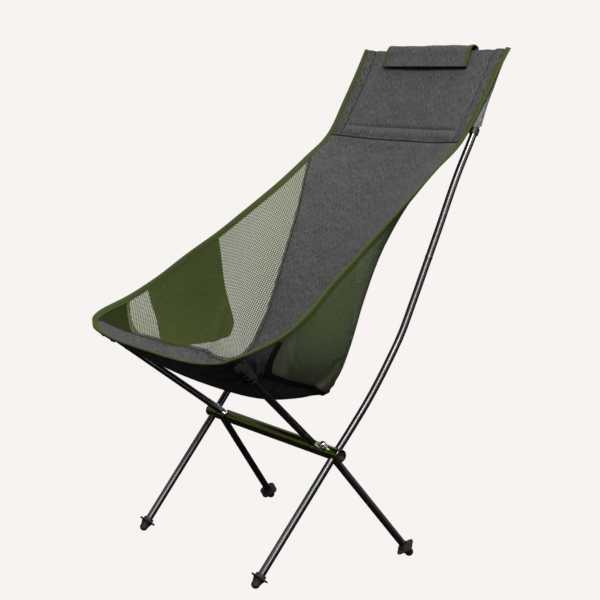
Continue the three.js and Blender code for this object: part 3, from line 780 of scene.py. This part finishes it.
def make_leg(kind, spec, name, side):
    body = f"{kind}_{name}"
    start, end = from_hub(*spec, side)
    length = np.linalg.norm(end - start)
    flange = length - FLANGE_FROM_END
    tube = turned(f"{kind}_tube_{name}", pole_profile(seat_on(start, end), flange + 1), start, end, POLE,
                  body)
    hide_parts(f"{kind}_{name}")
    shape = [(r, flange + along) for r, along in FOOT]
    for a in np.linspace(0.1, math.pi / 2, 10)[1:]:
        shape.append((max(BALL_R * math.cos(a), NEAR_ZERO), length + BALL_R * math.sin(a)))

    def lobes(angle, k):
        depth = 0.085 * LOBED.get(k, 0)
        return 1 - depth + depth * np.cos(4 * angle + 0.6)

    foot = turned(f"{kind}_shoe_{name}", shape, start, end, RUBBER, body, segments=72, lobes=lobes)
    for v in foot.data.vertices:
        v.co.z = max(v.co.z, 0)
    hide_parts(f"{kind}_foot_{name}")


def finish_hidden_nodes():
    """Better finishes for the CAD pieces that stay: what is inside the poles."""
    for side in SIDES:
        for kind, material in (("back_pole_joiner", SILVER), ("seat_pole_cord", CORD),
                               ("back_pole_cord", CORD)):
            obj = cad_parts[f"{kind}_{side}"]
            obj.data.materials.clear()
            obj.data.materials.append(material)


# ---- Fabric panels ----
def make_seat_panel():
    def place(a, b):
        t = mix(0.05, HIP, b)
        return (2 * a - 1) * np.minimum(seam(t) + SEAM_LAP, BY_EDGE), t

    seat = panel("seat_cloth", place, 110, 120, 0.3, 0.9, GREY)
    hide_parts("seat_panel")
    return seat


def make_back_panel():
    def place(a, b):
        t = mix(HIP - 0.05, NECK + 0.04, b)
        return (2 * a - 1) * np.minimum(seam(t) + SEAM_LAP, BY_EDGE), t

    def tuck(a, b):
        return -1.6 * smooth((b - 0.975) / 0.02) + 0.7 * np.exp(-((1 - b - 0.03) / 0.006) ** 2)

    back = panel("back_cloth", place, 110, 170, 0.5, 0.9, GREY, tuck)
    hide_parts("back_panel")
    return back


def make_headrest():
    def place(a, b):
        return (2 * a - 1) * HEM, mix(NECK, TOP - 0.02, b)

    def pad(a, b):
        rim = smooth(a / 0.05) * smooth((1 - a) / 0.05) * smooth(b / 0.04)
        groove = -3.4 * np.exp(-(((b - 0.1) / 0.013) ** 2)) + 1.2 * np.exp(-(((b - 0.06) / 0.02) ** 2))
        return 3.2 * rim + groove * smooth(a / 0.04) * smooth((1 - a) / 0.04) - 0.6 * (1 - rim)

    head = panel("headrest_cloth", place, 120, 90, 0.6, 1.2, GREY, pad)
    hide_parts("headrest_panel")
    return head


def make_hem(name, side):
    def place(a, b):
        t = mix(NECK + 0.02, TOP - 0.02, b)
        return side * mix(HEM - 0.004, BY_EDGE, a), t

    def swell(a, b):
        roll = np.sin(np.pi * np.clip(a * 1.25, 0, 1)) ** 0.8
        pucker = 0.5 * np.sin(34 * b + 5 * a) * np.sin(np.pi * a) + 0.7 * np.sin(11 * b + 1)
        return (5.2 * roll + pucker * roll) * smooth(b / 0.1 + 0.25) - 1.0

    hem = panel(f"headrest_border_{name}", place, 22, 80, 0.3, 0.9, GREY_HEM, swell)
    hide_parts(f"headrest_hem_{name}")
    return hem


def side_uv(across, t, points):
    """Rows on the side panels: u runs back and v runs up, as metres of cloth."""
    edge = bare(np.sign(across), t)
    run = row_lengths(points)
    down = run[:, -1:] - run
    return np.stack([edge[..., 1] * 0.6 + points[..., 1] * 0.4, edge[..., 2] - down], axis=-1) * MM


def make_side(name, side):
    def place(a, b):
        t = mix(mix(CORNER_SEAM, CORNER_EDGE, a) - 0.25, TIP, b)
        return side * mix(seam(t) - SEAM_LAP, IN_TAPE, a), t

    wing = panel(f"mesh_wing_{name}", place, 60, 190, -0.2, 0.5, MESH, uv=side_uv)
    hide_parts(f"side_mesh_{name}")
    return wing


LOW_EDGE = [(0.70, 1.72), (0.655, 2.4), (0.652, 3.1), (0.652, 3.9), (0.656, 4.6), (0.685, 5.0)]


def make_side_patch(name, side):
    def place(a, b):
        low = spline(np.array(LOW_EDGE), b * (len(LOW_EDGE) - 1))
        top_t = mix(2.62, 5.0, b)
        wobble = (0.003 * np.sin(17 * b + 3) + 0.002 * np.sin(31 * b)) * smooth(b / 0.3)
        across = mix(low[..., 0] + wobble, IN_TAPE, a)
        t = mix(low[..., 1], top_t, a) + 0.02 * np.sin(9 * a) * (2 * b - 1)
        return side * across, t

    patch = panel(f"wing_patch_{name}", place, 50, 60, 0.75, 0.6, OLIVE, uv=side_uv)
    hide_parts(f"side_patch_{name}")
    return patch


# Folds that gather at the pocket: each from (across, t) to (across, t), its width and height in mm.
PLEATS = [
    (0.97, 0.3, 0.8, 0.92, 4, 3.2), (0.99, 0.72, 0.8, 0.98, 3.6, 2.6), (0.93, 0.1, 0.77, 0.8, 4, -2.4),
    (0.97, 1.15, 0.79, 1.04, 4, 2.2), (0.86, 0.15, 0.72, 0.72, 5, 2.4), (0.95, 0.5, 0.83, 0.86, 2.6, -2.6),
]


def make_corner(name, side):
    def lining_place(a, b):
        at_seam, at_edge = mix(0.62, CORNER_SEAM, b), mix(0.1, CORNER_EDGE, b)
        inner = np.minimum(seam(at_seam), 0.975)
        bow = 0.05 * np.sin(np.pi * a)
        return side * mix(inner, BY_EDGE, a), mix(at_seam, at_edge, a) - bow * b

    lining = panel(f"corner_inner_{name}", lining_place, 36, 48, 0.75, 0.6, OLIVE_PAINTED_SHADE)
    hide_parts(f"corner_lining_{name}")

    def outer_place(a, b):
        at_inner, at_edge = mix(0.27, CORNER_SEAM, b), mix(0.46, CORNER_EDGE, b)
        inner = mix(0.48, seam(CORNER_SEAM), np.sin(b * np.pi / 2))
        return side * mix(inner, BY_EDGE, a), mix(at_inner, at_edge, a)

    def pleats(a, b):
        across, t = outer_place(a, b)
        return -sum(crease(across, t, ((side * a0, t0), (side * a1, t1)), width, height)
                    for a0, t0, a1, t1, width, height in PLEATS)

    outer = panel(f"corner_outer_{name}", outer_place, 90, 90, -1.9, 0.7, GREY_UNDER_PAINTED_SHADE, pleats)
    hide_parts(f"corner_patch_{name}")
    # A black strip along the outer patch's lower edge: painted shadow of the gap between the patch and the
    # seat.
    across, t = outer_place(np.zeros(9), np.linspace(0, 1, 9))
    ribbon(f"corner_edge_shadow_{name}", np.stack([across, t], axis=1), 3.4, 1.1, -2.3, WEBBING_AND_EDGE_SHADOW,
           90)
    return lining, outer


def settle(rows=160, columns=71, frames=36, spare=0.0004, most=8.0):
    """Hangs the whole fabric as cloth and keeps how far it moved, up to most in mm.

    It is held at its edges and seams, with a little spare length.
    """
    a, t = np.meshgrid(np.linspace(-1, 1, columns), np.linspace(0, TOP, rows))
    points, n = on_fabric(a, t)
    mesh = bpy.data.meshes.new("settling")
    mesh.from_pydata([tuple(v) for v in points.reshape(-1, 3) * MM], [], grid_faces(rows, columns))
    cloth = bpy.data.objects.new("settling", mesh)
    bpy.context.scene.collection.objects.link(cloth)
    held = cloth.vertex_groups.new(name="held")
    seam_hold = 0.35
    near_seam = np.abs(np.abs(a) - seam(t)) < 1.1 / columns
    pinned = (np.abs(a) > 0.975) | (t < 0.1) | (t > TOP - 0.1) | (np.abs(t - NECK) < 0.05)
    weight = np.where(pinned, 1.0, np.where(near_seam & (t > 1) & (t < TIP), seam_hold, 0.0)).ravel()
    for value in (1.0, seam_hold):
        held.add([int(k) for k in np.flatnonzero(weight == value)], value, "REPLACE")
    change = cloth.modifiers.new("cloth", "CLOTH")
    for key, value in {
        "quality": 6, "mass": 0.2, "tension_stiffness": 12, "compression_stiffness": 12,
        "shear_stiffness": 6, "bending_stiffness": 0.35, "vertex_group_mass": "held", "shrink_min": -spare,
    }.items():
        setattr(change.settings, key, value)
    change.settings.effector_weights.gravity = 0.35
    change.point_cache.frame_end = frames
    for k in range(1, frames + 1):
        bpy.context.scene.frame_set(k)
    done = cloth.evaluated_get(bpy.context.evaluated_depsgraph_get()).to_mesh()
    co = np.empty(len(done.vertices) * 3)
    done.vertices.foreach_get("co", co)
    moved = (np.sum((co.reshape(points.shape) / MM - points) * n, axis=2)).clip(-most, most)
    bpy.data.objects.remove(cloth)
    bpy.context.scene.frame_set(1)
    by_sleeve = smooth((HEM - np.abs(a)) / 0.08 + 1) + smooth((NECK - t) / 0.4)
    by_pocket = smooth((0.72 - np.abs(a)) / 0.1) + smooth((t - 1.2) / 0.6)
    fade = edge_fade(a, t, 0.06, 0.2)
    SETTLED["offset"] = moved * fade * by_sleeve.clip(0, 1) * by_pocket.clip(0, 1)


# ---- Tapes, webbing and stitching ----
def edge_line(count=900):
    """The fabric's bound edge, from the top left corner round the front to the top right.

    Gives its points, inward directions and normals.
    """
    down, front = 700, 500
    ts = np.linspace(TOP, 0.0, down)
    across = np.concatenate([-np.ones(down), np.linspace(-1, 1, front)[1:-1], np.ones(down)])
    t = np.concatenate([ts, np.zeros(front - 2), ts[::-1]])
    points = bare(across, t)
    step = np.r_[True, np.linalg.norm(np.diff(points, axis=0), axis=1) > 0.05]
    points, across, t = points[step], across[step], t[step]
    inner_n = normal(np.clip(across, -0.96, 0.96), np.clip(t, 0.12, TOP - 0.05))
    run = lengths(points)
    at = np.linspace(0, run[-1], count)
    points, inner_n = looked_up(at, run, points), looked_up(at, run, inner_n)
    along = unit(np.gradient(points, axis=0))
    inner_n = unit(inner_n - along * np.sum(inner_n * along, axis=1, keepdims=True))
    inward = unit(np.cross(inner_n, along))
    if inward[10] @ (bare(0.0, TOP - 0.1) - points[10]) < 0:
        inward = -inward
    return points, inward, inner_n


def make_edge_tape():
    points, inward, n = edge_line()
    d = TAPE_DEPTH
    side = [(d, 1.3), (d, 1.9), (d - 0.6, 2.2), (d - 2.2, 2.15), (d - 3, 1.75), (d - 3.8, 2.2), (3.4, 2.7),
            (1.2, 2.6), (-0.6, 1.9), (-1.6, 0.9)]
    under = [(x, -h) for x, h in reversed(side)]
    ring = np.array([*side, (-1.9, 0), *under, (1.2, -1.1), (0.2, 0), (1.2, 1.1)])
    rings = points[:, None] + ring[None, :, :1] * inward[:, None] + ring[None, :, 1:] * n[:, None]
    tape = skin("edge_binding", points, rings, ring, TAPE, sharp=60)
    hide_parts("edge_tape")
    for side, sign in (("inner", 1), ("outer", -1)):
        line = points + inward * (d - 3) + n * sign * 2.0
        stitches(f"edge_stitches_{side}", line, n * sign, GREEN_THREAD)
    return tape


STITCH_LENGTH, STITCH_PITCH, STITCH_R = 2.6, 3.6, 0.34


def stitches(name, line, up, material):
    """A row of lock stitches: short threads that dip into the cloth at both ends."""
    run = lengths(line)
    count = int(run[-1] / STITCH_PITCH)
    swell = [0.5, 1, 1.1, 1, 0.5]
    sides = len(swell)
    steps = np.linspace(0, 1, sides)
    at = (np.arange(count) + 0.2)[:, None] * STITCH_PITCH + steps[None] * STITCH_LENGTH
    lift = looked_up(at, run, up)
    centre = looked_up(at, run, line) + lift * (0.28 * np.sin(np.pi * steps) - 0.18)[None, :, None]
    along = unit(centre[:, -1] - centre[:, 0])[:, None]
    across = unit(np.cross(along, lift))
    other = np.cross(across, along)
    ring = circle(STITCH_R, sides)
    out = ring[:, 0, None] * across[:, :, None] + ring[:, 1, None] * other[:, :, None]
    tubes = centre[:, :, None] + np.array(swell)[None, :, None, None] * out
    one = grid_faces(sides, sides, around=True) + [[4, 3, 2, 1, 0], [20, 21, 22, 23, 24]]
    points = sides * sides
    faces = [[i + points * k for i in f] for k in range(count) for f in one]
    uv = np.zeros((count * points, 2))
    uv[:, 1] = np.repeat(at.ravel() * MM, sides)
    piece = new_piece(name, tubes.reshape(-1, 3), faces, material, "frame", uv)


def ribbon(name, route, width, thick, lift, material, count=120):
    """A flat tape on the fabric along a route of (across, t) points, with softly rounded edges."""
    path = spline(route, np.linspace(0, len(route) - 1, count))
    points, n = on_fabric(path[:, 0], path[:, 1], lift)
    h, w = thick / 2, width / 2
    ring = [(-w, -h / 2), (-w + 0.4, -h), (0, -h), (w - 0.4, -h), (w, -h / 2)]
    ring += [(x, -y) for x, y in reversed(ring)]
    piece = sweep(name, points, ring, material, up=n)
    return piece


def make_webbing(name, side):
    up = [(0.985, 1.87), (0.955, 1.71), (0.91, 1.52), (0.865, 1.4), (0.815, 1.36), (0.77, 1.48)]
    up = [(side * a, t) for a, t in up]
    piece = ribbon(f"corner_strap_{name}", up, 15, 1.1, -3.2, WEBBING_AND_EDGE_SHADOW, 70)
    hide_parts(f"corner_webbing_{name}")
    ts = np.linspace(1.3, HIP + 0.3, 9)
    along = [(side * (float(seam(t)) - 0.02 * math.sin(math.pi * k / 8)), t) for k, t in enumerate(ts)]
    piece = ribbon(f"seam_strap_{name}", along, 14, 1.1, -3.0, WEBBING_AND_EDGE_SHADOW, 140)
    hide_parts(f"seam_webbing_{name}")


def make_seam_lines():
    """Dark strips along the seams as their painted shadow: under the headrest, round it, and beside the side
    panels.
    """
    rows = {"neck_seam_shadow": ([(a, NECK) for a in (-0.97, -0.5, 0, 0.5, 0.97)], 1.1)}
    for side, sign in SIDES.items():
        rows[f"hem_seam_{side}"] = ([(sign * HEM, t) for t in np.linspace(NECK, TOP - 0.1, 8)], 0.9)
    for side, sign in SIDES.items():
        ts = np.linspace(0.62, 9.2, 30)
        rows[f"wing_seam_{side}"] = ([(sign * min(float(seam(t)), BY_EDGE), t) for t in ts], 0.95)
    # Each strip is painted shadow of its seam, lifted just over the cloth.
    for name, (route, lift) in rows.items():
        ribbon(name, route, 2.4, 0.7, lift, THREAD_AND_SEAM_SHADOW, 260)
    for side, sign in SIDES.items():
        ts = np.linspace(1.4, 9.0, 26)
        path = spline([(sign * (float(seam(t)) - 0.022), t) for t in ts], np.linspace(0, 25, 400))
        line, n = on_fabric(path[:, 0], path[:, 1], 1.0)
        stitches(f"wing_stitches_{side}", line, n, THREAD_AND_SEAM_SHADOW)


# ---- Pockets and sleeves ----
def make_pocket(name, side):
    start, end = from_hub(*SEAT_POLE, side)
    top = np.linalg.norm(end - start) + 7.5
    outline = [(8.7, -52), (9.6, -52.4), (10.4, -51.6), (10.5, -47), (10.1, -45.4), (10.2, -38), (10.6, -28),
               (10.8, -18), (10.6, -8), (9.8, -2), (7.4, 1.2), (4, 2), (NEAR_ZERO, 2.2)]
    shape = [(r, top + along) for r, along in outline]
    pleats = [0, 0.01, 0.015, 0.02, 0.03, 0.05, 0.08, 0.1, 0.11, 0.1, 0.06, 0.02, 0]

    def lobes(angle, k):
        return 1 + pleats[k] * (np.sin(5 * angle + 0.12 * k) + 0.5 * np.sin(9 * angle + 1 + 0.3 * k))

    # The pocket and its fold rings wear the near-black cloth: painted shade.
    pocket = turned(f"corner_pocket_{name}", shape, start, end, GREY_POCKET_PAINTED_SHADE, segments=72, lobes=lobes)
    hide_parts(f"pole_pocket_{name}")
    axis = unit(end - start)
    out = unit(np.cross(axis, (0, 0, 1)))
    other = np.cross(axis, out)
    a = np.linspace(0, 2 * np.pi, 73)
    for k, (middle, tilt, r) in enumerate(((top - 47, 2.5, 2.3), (top - 30, 9, 2.6), (top - 17, -8, 2.4))):
        swell = 10.9 + 0.5 * np.sin(3 * a + k)
        centre = start + axis * middle
        line = (centre + (swell * np.cos(a))[:, None] * out + (swell * np.sin(a))[:, None] * other
                + (tilt * np.sin(a + side * 0.8))[:, None] * axis)
        radii = r * (0.75 + 0.25 * np.sin(2 * a + k))
        sections = circle(1, 14)[None] * radii[:, None, None]
        wrap = sweep(f"pocket_fold_{k + 1}_{name}", line, sections, GREY_POCKET_PAINTED_SHADE)


def pole_at_height(line, z):
    """The back pole's centre at each height."""
    return looked_up(z, line[:, 2], line)


def grid_normals(grid):
    """Unit normals of a grid of points."""
    return unit(np.cross(np.gradient(grid, axis=1), np.gradient(grid, axis=0)))


# How far outside the fabric the sleeve starts and ends.
SLEEVE_DROP = 1.5


def make_sleeve(name, side):
    line = back_line(side, 400)
    rows, columns = 60, 41
    low, high = 10.42, 12.5
    grid = np.empty((rows, columns, 3))
    for i, t in enumerate(np.linspace(low, high, rows)):
        inner, outer = (bare(side * a, t) - normal(side * a, t) * SLEEVE_DROP
                        for a in (HEM + SEAM_LAP, BY_EDGE))
        centre = pole_at_height(line, outer[2])
        angles = np.linspace(math.pi, -math.pi / 4, 9)
        arc = [centre + (side * 9 * math.cos(a), 10.8 * math.sin(a), 0) for a in angles]
        grid[i] = even(spline([inner, *arc, outer], np.linspace(0, 10, 120)), columns)
    wobble = 0.5 * np.sin(np.linspace(0, 9, rows))[:, None] * np.sin(np.linspace(0, np.pi, columns))[None]
    n = grid_normals(grid)
    sleeve = slab(f"pole_sheath_{name}", grid + n * wobble[..., None], n, 0.9, GREY_SLEEVE_PAINTED_LIGHT)
    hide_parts(f"pole_sleeve_{name}")
    z = bare(float(side), low)[2]
    start, towards = pole_at_height(line, z - 16), pole_at_height(line, z)
    ring = [(7.8, 0.3), (8.2, 0), (9, 0), (9.4, 0.4), (9.4, 12.6), (9, 13), (8.2, 13), (7.8, 12.7),
            (7.8, 0.3)]
    mouth = turned(f"sheath_mouth_{name}", ring, start, towards, PLASTIC)
    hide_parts(f"sleeve_mouth_{name}")
    return sleeve


# ---- The band over the top edge ----
def band_grid(x_from, x_to, columns, rows=44, swell=0.0):
    """Points and normals of the band, from one x to another, with soft waves of a height swell in mm."""
    rows_yz = np.array(FLAP_SECTION, float) + (HUB[1], 0)
    section = spline(rows_yz, np.linspace(0, len(rows_yz) - 1, 200))
    section = even(np.column_stack([np.zeros(200), section]), rows)
    xs = np.linspace(x_from, x_to, columns)
    grid = np.broadcast_to(section[:, None], (rows, columns, 3)).copy()
    grid[..., 0] = xs[None]
    n = grid_normals(grid)
    if n[rows // 2, 0, 2] < 0:
        n = -n
    k = np.linspace(0, 1, rows)[:, None]
    wave = 0.7 * np.sin(xs / 27)[None] * np.sin(np.pi * k) + 0.5 * np.sin(xs / 11 + 1)[None] * np.sin(2.2 * k)
    return grid + n * (wave * np.sin(np.pi * k) ** 0.5 * swell)[..., None], n


def make_flap():
    grid, n = band_grid(-FLAP_HALF - 2, FLAP_HALF + 2, 120, swell=0.8)
    flap = slab("top_band", grid, n, 1.3, GREY, "flap")
    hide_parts("head_flap")
    ring = [(-3.2, 0.7), (-3.2, 1.3), (0, 1.5), (3.6, 1.45), (5, 0.9), (5.3, 0), (5, -0.9), (3.6, -1.45),
            (0, -1.5), (-3.2, -1.3), (-3.2, -0.7), (3.4, -0.6), (3.9, 0), (3.4, 0.6)]
    for name, side in SIDES.items():
        grid, n = band_grid(side * FLAP_HALF, side * (FLAP_HALF + 1), 2, rows=60)
        line, up = grid[:, 0], n[:, 0]
        out = np.cross(unit(np.gradient(line, axis=0)), up)
        flip = 1 if out[0][0] * side > 0 else -1
        piece = sweep(f"band_binding_{name}", line, np.array(ring) * (flip, 1), TAPE, "flap", up=up)
        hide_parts(f"flap_binding_{name}")
    return flap


# ---- Stage ----
BACKGROUND = (0.93, 0.896, 0.871)
WHITE = (1, 1, 1)


def seen_by(tree, kind, yes, no):
    """One shader for rays of a kind and another for the rest."""
    ray = node(tree, "ShaderNodeLightPath").outputs[f"Is {kind} Ray"]
    return node(tree, "ShaderNodeMixShader", {0: ray, 1: no, 2: yes}).outputs[0]


def make_stage():
    mesh = bpy.data.meshes.new("floor")
    radius, count = 40, 64
    angle = np.linspace(0, 2 * np.pi, count, endpoint=False)
    mesh.from_pydata([(radius * math.cos(a), radius * math.sin(a), 0) for a in angle], [],
                     [list(range(count))])
    floor = bpy.data.objects.new("floor", mesh)
    m, tree, p = shader("floor", BACKGROUND, 0.9)
    tree.nodes.remove(p)
    glow, dim = (node(tree, "ShaderNodeEmission", {"Color": (*color, 1), "Strength": strength}).outputs[0]
                 for color, strength in ((BACKGROUND, 1.0), (WHITE, 0.02)))
    tree.links.new(seen_by(tree, "Camera", glow, dim), tree.nodes["Material Output"].inputs["Surface"])
    mesh.materials.append(m)
    bpy.context.scene.collection.objects.link(floor)


def area_light(name, place, size, power):
    """A light that faces the chair's middle, its place and size in metres."""
    light = bpy.data.lights.new(name, "AREA")
    light.shape = "RECTANGLE"
    light.size, light.size_y = size
    light.energy = power
    obj = bpy.data.objects.new(name, light)
    obj.location = place
    obj.rotation_euler = (Vector((0, 0, 0.55)) - Vector(place)).to_track_quat("-Z", "Y").to_euler()
    bpy.context.scene.collection.objects.link(obj)
    return obj


def make_lights():
    world = bpy.data.worlds.new("studio")
    bpy.context.scene.world = world
    world.use_nodes = True
    tree = world.node_tree
    seen = tree.nodes["Background"]
    seen.inputs[0].default_value = (*BACKGROUND, 1)
    fill, mirrored = (node(tree, "ShaderNodeBackground", {0: (*WHITE, 1), 1: strength}).outputs[0]
                      for strength in (0.07, 0.3))
    lit = seen_by(tree, "Glossy", mirrored, fill)
    both = seen_by(tree, "Camera", seen.outputs[0], lit)
    tree.links.new(both, tree.nodes["World Output"].inputs[0])
    for light in (
        ("key", (2.2, -1.4, 2.9), (0.9, 0.9), 113), ("top", (-0.6, 0.3, 3.3), (1.8, 1.4), 25),
        ("rear", (-2.1, 2.6, 1.9), (1.6, 1.6), 20), ("side", (3.0, 1.3, 1.7), (1.4, 1.4), 15),
    ):
        area_light(*light)
    for strip in (("strip_right", (3.2, -1.5, 1.2), (0.7, 3.6), 62),
                  ("strip_left", (0.4, -3.2, 1.2), (1.1, 3.6), 16)):
        area_light(*strip).visible_diffuse = False


def make_camera():
    data = bpy.data.cameras.new("camera")
    data.lens = 84.64
    data.sensor_width = 36
    camera = bpy.data.objects.new("camera", data)
    camera.location = (2.2829, -1.6728, 0.96075)
    camera.rotation_euler = (math.radians(80.62), 0, math.radians(53.77))
    bpy.context.scene.collection.objects.link(camera)
    bpy.context.scene.camera = camera
    bpy.context.scene.view_settings.view_transform = "Standard"


make_camera()
settle()
make_cross_tube()
for label, hand in SIDES.items():
    make_hub_ends(label, hand)
    make_collar(label, hand)
    make_seat_pole(label, hand)
    make_back_pole(label, hand)
    make_leg("front_leg", FRONT_LEG, label, hand)
    make_leg("rear_leg", REAR_LEG, label, hand)
finish_hidden_nodes()

binding = make_edge_tape()
for cloth in (make_seat_panel(), make_back_panel()):
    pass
headrest = make_headrest()
for label, hand in SIDES.items():
    border = make_hem(label, hand)
    wing = make_side(label, hand)
    patch = make_side_patch(label, hand)
    inner, outer = make_corner(label, hand)
    sheath = make_sleeve(label, hand)
    make_webbing(label, hand)
    make_pocket(label, hand)
make_seam_lines()
make_flap()
make_stage()
make_lights()
